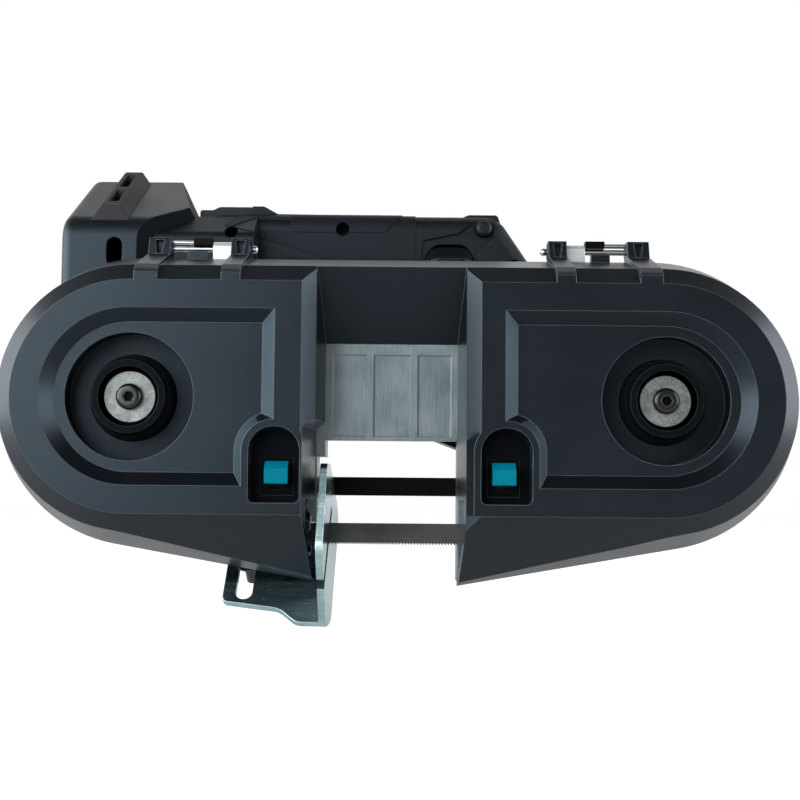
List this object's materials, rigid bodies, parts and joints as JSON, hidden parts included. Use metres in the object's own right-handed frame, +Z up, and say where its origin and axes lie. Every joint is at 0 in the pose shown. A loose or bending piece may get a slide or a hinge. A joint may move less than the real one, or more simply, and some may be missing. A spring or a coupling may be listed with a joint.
{
  "type": "portable band saw",
  "caption": "Cordless hand held band saw with two wheel lobes round an open throat, a swing-up blade cover, teal latches, a zinc stopper, and a handle above the motor",
  "frame": {"origin": "middle of the underside of the whole tool's box", "axes": "+X along the tool to the drive wheel, +Y from the blade cover to the motor, +Z up"},
  "size_m": [0.4044, 0.1578, 0.2519],
  "materials": {
    "black_plastic": "fine satin grain",
    "teal_plastic": "smooth",
    "cast_aluminium": "as cast, brushed on the web",
    "zinc_steel": "bright zinc plating",
    "dark_steel": "ground",
    "black_paint": "semi gloss",
    "black_rubber": "matt",
    "copper": "wound and varnished"
  },
  "bodies": {
    "frame": {"back_cover_screws": "zinc_steel", "battery_block": "black_plastic", "control_board": "black_plastic", "drive_bearings": "dark_steel", "gear_housing": "black_plastic", "gear_plate": "cast_aluminium", "guard_bar_screws": "black_paint", "guide_bracket_left": "zinc_steel", "guide_bracket_right": "zinc_steel", "guide_pins": "zinc_steel", "handle_front_shell": "black_plastic", "handle_rear_shell": "black_plastic", "handle_screws": "black_paint", "hinge_pins": "zinc_steel", "idler_back_cover": "black_plastic", "main_frame": "cast_aluminium", "motor_housing": "black_plastic", "rear_guard_bar": "black_paint", "rotor_bearing": "dark_steel", "rubber_bumper": "black_rubber", "saw_blade": "dark_steel", "stator": "copper", "stopper_screw": "zinc_steel", "switch_body": "black_plastic", "terminal_block": "black_plastic"},
    "cover": {"blade_cover": "black_plastic", "hinge_rods": "zinc_steel", "rod_blocks": "black_paint"},
    "latch_left": {"cover_latch_left": "teal_plastic"},
    "latch_right": {"cover_latch_right": "teal_plastic"},
    "drive": {"drive_wheel": "cast_aluminium", "drive_tire": "black_rubber", "drive_shaft": "dark_steel", "drive_washer": "zinc_steel", "drive_wheel_screw": "black_paint", "output_gear": "dark_steel"},
    "carriage": {"idler_carriage": "cast_aluminium", "idler_axle": "dark_steel", "idler_spacer": "zinc_steel", "idler_washer": "zinc_steel", "idler_wheel_screw": "black_paint", "tension_spring": "dark_steel"},
    "idler": {"idler_wheel": "cast_aluminium", "idler_tire": "black_rubber", "idler_bearings": "dark_steel"},
    "lay": {"lay_gear": "dark_steel"},
    "rotor_group": {"rotor": "dark_steel", "motor_pinion": "dark_steel", "motor_fan": "black_plastic"},
    "roller_left_front": {"guide_roller_left_front": "dark_steel"},
    "roller_left_back": {"guide_roller_left_back": "dark_steel"},
    "roller_right_front": {"guide_roller_right_front": "dark_steel"},
    "roller_right_back": {"guide_roller_right_back": "dark_steel"},
    "stopper": {"stopper_plate": "zinc_steel"},
    "lever": {"tension_lever": "black_plastic", "cam_shaft": "zinc_steel"},
    "trigger_group": {"trigger": "black_plastic", "trigger_spring": "dark_steel"},
    "lock_off": {"lock_off_button": "black_plastic"}
  },
  "joints": [
    {"name": "cover_swing", "type": "hinge", "parent": "frame", "child": "cover", "pos_m": [0.00005, -0.0339, 0.18962], "axis": [-1, 0, 0], "range_deg": [0, 100]},
    {"name": "latch_left_slide", "type": "slide", "parent": "cover", "child": "latch_left", "axis": [0, 0, -1], "range_m": [0, 0.005], "stiffness_N_per_m": 120, "springref_m": -0.003},
    {"name": "latch_right_slide", "type": "slide", "parent": "cover", "child": "latch_right", "axis": [0, 0, -1], "range_m": [0, 0.005], "stiffness_N_per_m": 120, "springref_m": -0.003},
    {"name": "drive_spin", "type": "hinge", "parent": "frame", "child": "drive", "pos_m": [0.12925, -0.0479, 0.11102], "axis": [0, 1, 0], "continuous": true},
    {"name": "carriage_slide", "type": "slide", "parent": "frame", "child": "carriage", "axis": [1, 0, 0], "range_m": [0, 0.003]},
    {"name": "idler_spin", "type": "hinge", "parent": "carriage", "child": "idler", "pos_m": [-0.12915, -0.0479, 0.11102], "axis": [0, 1, 0], "continuous": true},
    {"name": "lay_spin", "type": "hinge", "parent": "frame", "child": "lay", "pos_m": [0.08725, 0.0011, 0.13527], "axis": [0, 1, 0], "continuous": true},
    {"name": "rotor_spin", "type": "hinge", "parent": "frame", "child": "rotor_group", "pos_m": [0.11825, 0.0311, 0.13527], "axis": [0, 1, 0], "continuous": true},
    {"name": "stopper_slide", "type": "slide", "parent": "frame", "child": "stopper", "axis": [-0.0381, -0.6417, -0.766], "range_m": [0, 0.008]},
    {"name": "lever_turn", "type": "hinge", "parent": "frame", "child": "lever", "pos_m": [-0.15015, -0.0069, 0.07302], "axis": [0, 1, 0], "range_deg": [0, 100]},
    {"name": "trigger_slide", "type": "slide", "parent": "frame", "child": "trigger_group", "axis": [0, 0.7071, 0.7071], "range_m": [0, 0.005], "stiffness_N_per_m": 500, "springref_m": -0.004},
    {"name": "lock_off_slide", "type": "slide", "parent": "frame", "child": "lock_off", "axis": [0, 1, 0], "range_m": [0, 0.0025], "stiffness_N_per_m": 300, "springref_m": -0.004},
    {"name": "roller_left_front_spin", "type": "hinge", "parent": "frame", "child": "roller_left_front", "pos_m": [-0.05045, -0.05483, 0.05134], "axis": [0, 0.6428, 0.766], "continuous": true},
    {"name": "roller_left_back_spin", "type": "hinge", "parent": "frame", "child": "roller_left_back", "pos_m": [-0.05045, -0.04097, 0.0397], "axis": [0, 0.6428, 0.766], "continuous": true},
    {"name": "roller_right_front_spin", "type": "hinge", "parent": "frame", "child": "roller_right_front", "pos_m": [0.04415, -0.05483, 0.05134], "axis": [0, 0.6428, 0.766], "continuous": true},
    {"name": "roller_right_back_spin", "type": "hinge", "parent": "frame", "child": "roller_right_back", "pos_m": [0.04415, -0.04097, 0.0397], "axis": [0, 0.6428, 0.766], "continuous": true}
  ],
  "couplings": [
    {"joint": "idler_spin", "follows": "drive_spin", "ratio": 1},
    {"joint": "lay_spin", "follows": "drive_spin", "ratio": -4.7059},
    {"joint": "rotor_spin", "follows": "drive_spin", "ratio": 24.471},
    {"joint": "lever_turn", "follows": "carriage_slide", "rad_per_m": 581.78},
    {"joint": "roller_left_front_spin", "follows": "drive_spin", "ratio": 7.5},
    {"joint": "roller_left_back_spin", "follows": "drive_spin", "ratio": -7.5},
    {"joint": "roller_right_front_spin", "follows": "drive_spin", "ratio": 7.5},
    {"joint": "roller_right_back_spin", "follows": "drive_spin", "ratio": -7.5}
  ]
}
